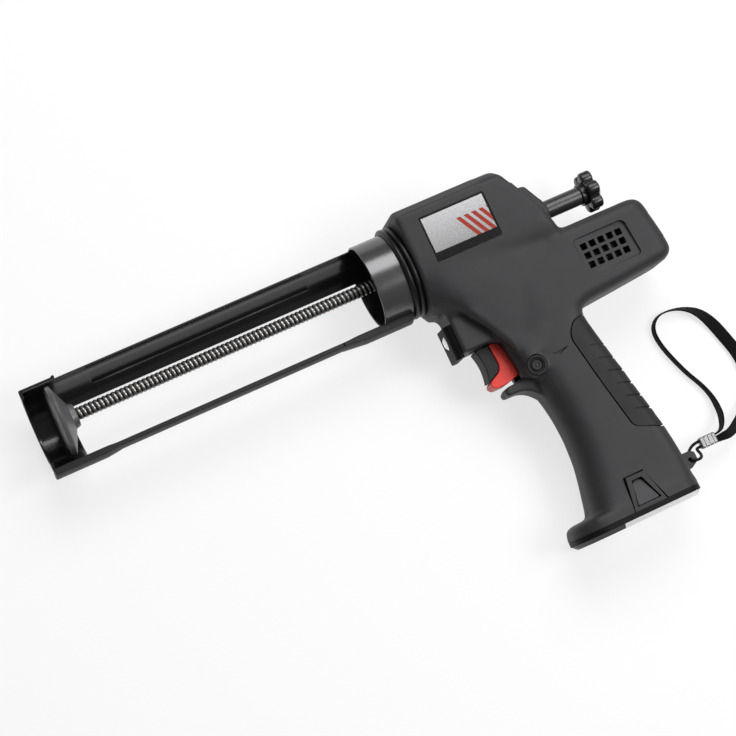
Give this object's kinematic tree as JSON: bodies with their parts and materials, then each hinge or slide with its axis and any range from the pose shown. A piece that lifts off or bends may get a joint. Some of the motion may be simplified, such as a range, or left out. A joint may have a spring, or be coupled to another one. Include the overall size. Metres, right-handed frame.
{
  "type": "cordless caulking tool",
  "caption": "Battery-powered caulking gun: half-open cartridge cradle, screw-driven plunger, pistol grip with slide-in battery, trigger, work lamp and wrist strap.",
  "frame": {"origin": "on the barrel axis, at the front edge of the cradle's collar, where a cartridge goes in", "axes": "+X along the barrel to the rear, +Y the tool's own up, +Z its left side, which points up as it lies"},
  "size_m": [0.4414, 0.24, 0.066],
  "materials": {
    "housing_plastic": "fine satin grain",
    "gasket_rubber": "satin",
    "label_film": "satin",
    "lamp_black": "gloss",
    "lens_clear": "clear",
    "led_white": "gloss",
    "pad_rubber": "matt, ribbed",
    "gear_plate_metal": "milled",
    "gear_steel": "oiled",
    "bush_bronze": "plain",
    "guide_plastic": "satin",
    "screw_steel": "dark zinc",
    "switch_plastic": "plain",
    "board_green": "satin",
    "cradle_paint": "gloss black",
    "spindle_steel": "dark oiled",
    "plunger_paint": "satin black",
    "knob_plastic": "gloss",
    "trigger_red": "satin",
    "trigger_rubber": "matt",
    "button_plastic": "satin",
    "cell_wrap": "satin wrap",
    "contact_brass": "bright",
    "strap_cord_black": "braided",
    "strap_webbing_black": "woven",
    "ferrule_steel": "bright pressed"
  },
  "bodies": {
    "housing": {"left_shell": "housing_plastic", "right_shell": "housing_plastic", "shell_screws": "screw_steel", "front_gasket": "gasket_rubber", "label_left": "label_film", "label_right": "label_film", "lamp_bezel": "lamp_black", "lamp_lens": "lens_clear", "lamp_led": "led_white", "grip_pad": "pad_rubber", "strap_lug": "housing_plastic", "front_gear_plate": "gear_plate_metal", "rear_gear_plate": "gear_plate_metal", "gear_pillars": "gear_steel", "nut_bush": "bush_bronze", "thrust_bearing": "gear_steel", "reduction_axle": "gear_steel", "motor_can": "gear_steel", "motor_end_cap": "guide_plastic", "rear_guide_bush": "guide_plastic", "trigger_switch": "switch_plastic", "trigger_spring": "gear_steel", "control_board": "board_green", "terminal_block": "switch_plastic", "strap_cord": "strap_cord_black", "strap_ferrule": "ferrule_steel", "strap_webbing": "strap_webbing_black"},
    "cradle": {"collar": "cradle_paint", "cartridge_trough": "cradle_paint", "front_cup": "cradle_paint", "bottom_rail": "cradle_paint", "cradle_rivets": "screw_steel"},
    "spindle": {"spindle": "spindle_steel", "plunger_disc": "plunger_paint", "plunger_hub": "plunger_paint", "rear_sleeve": "spindle_steel", "star_knob": "knob_plastic", "knob_screw": "screw_steel"},
    "drive_nut": {"drive_nut": "gear_steel"},
    "reduction": {"reduction_wheel": "gear_steel", "reduction_pinion": "gear_steel"},
    "rotor": {"motor_armature": "gear_steel", "motor_pinion": "gear_steel"},
    "trigger": {"trigger": "trigger_red", "trigger_face": "trigger_rubber"},
    "selector": {"selector_bolt": "button_plastic"},
    "battery": {"battery_case": "housing_plastic", "battery_cells": "cell_wrap", "battery_foot": "housing_plastic", "battery_contacts": "contact_brass", "latch_spring_left": "gear_steel", "latch_spring_right": "gear_steel"},
    "latch_left": {"latch_left": "button_plastic"},
    "latch_right": {"latch_right": "button_plastic"}
  },
  "joints": [
    {"name": "motor_spin", "type": "hinge", "parent": "housing", "child": "rotor", "pos_m": [0, -0.042, 0], "axis": [1, 0, 0], "range_deg": [-334079, 16559]},
    {"name": "reduction_spin", "type": "hinge", "parent": "housing", "child": "reduction", "pos_m": [0, -0.024, 0], "axis": [1, 0, 0], "range_deg": [-4140, 83520]},
    {"name": "nut_spin", "type": "hinge", "parent": "housing", "child": "drive_nut", "pos_m": [0, 0, 0], "axis": [1, 0, 0], "range_deg": [-27840, 1380]},
    {"name": "spindle_slide", "type": "slide", "parent": "housing", "child": "spindle", "axis": [1, 0, 0], "range_m": [-0.0115, 0.232]},
    {"name": "cradle_turn", "type": "hinge", "parent": "housing", "child": "cradle", "pos_m": [0, 0, 0], "axis": [1, 0, 0], "continuous": true},
    {"name": "trigger_pull", "type": "slide", "parent": "housing", "child": "trigger", "axis": [1, 0, 0], "range_m": [0, 0.0045], "stiffness_N_per_m": 1200, "springref_m": -0.004, "deforming": ["trigger_spring"]},
    {"name": "selector_slide", "type": "slide", "parent": "housing", "child": "selector", "axis": [0, 0, 1], "range_m": [0, 0.003]},
    {"name": "battery_slide", "type": "slide", "parent": "housing", "child": "battery", "axis": [0, -1, 0], "range_m": [0, 0.11]},
    {"name": "latch_left_press", "type": "slide", "parent": "battery", "child": "latch_left", "axis": [0, 0, -1], "range_m": [0, 0.0022], "stiffness_N_per_m": 1500, "springref_m": -0.002, "deforming": ["latch_spring_left"]},
    {"name": "latch_right_press", "type": "slide", "parent": "battery", "child": "latch_right", "axis": [0, 0, 1], "range_m": [0, 0.0022], "stiffness_N_per_m": 1500, "springref_m": -0.002, "deforming": ["latch_spring_right"]}
  ],
  "couplings": [
    {"joint": "reduction_spin", "follows": "motor_spin", "ratio": -0.25},
    {"joint": "nut_spin", "follows": "motor_spin", "ratio": 0.083333},
    {"joint": "spindle_slide", "follows": "motor_spin", "m_per_rad": -0.000039789}
  ]
}
